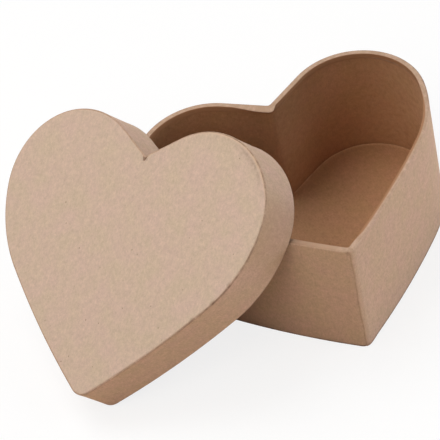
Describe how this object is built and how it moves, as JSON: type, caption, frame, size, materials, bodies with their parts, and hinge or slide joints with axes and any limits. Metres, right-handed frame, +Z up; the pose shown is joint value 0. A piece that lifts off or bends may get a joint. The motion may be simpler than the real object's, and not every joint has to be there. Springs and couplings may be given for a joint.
{
  "type": "valentine heart box",
  "caption": "Heart-shaped craft box of rigid board covered in plain kraft paper, shown open with its loose deep-rimmed lid leaning on the base.",
  "frame": {"origin": "middle of the base's underside, on the heart's axis at half its length", "axes": "+Z up out of the open base, the heart's tip towards -Y and its notch towards +Y"},
  "size_m": [0.1855, 0.1267, 0.089],
  "materials": {
    "board": "matte grey-brown board",
    "wrap_paper": "matte kraft paper",
    "top_paper": "matte light kraft paper with fine fibres",
    "lining_paper": "matte brown kraft paper"
  },
  "bodies": {
    "base": {"base_wall_board": "board", "base_floor_board": "board", "base_wall_wrap": "wrap_paper", "base_wall_lining": "lining_paper", "base_floor_lining": "lining_paper", "base_underside_sheet": "wrap_paper"},
    "lid": {"lid_rim_board": "board", "lid_top_board": "board", "lid_rim_wrap": "wrap_paper", "lid_top_sheet": "top_paper", "lid_top_lining": "lining_paper", "lid_rim_lining": "lining_paper"}
  },
  "joints": [
    {"name": "lid_lift", "type": "slide", "parent": "base", "child": "lid", "axis": [-0.5457, -0.2134, 0.8103], "range_m": [0, 0.15]}
  ]
}
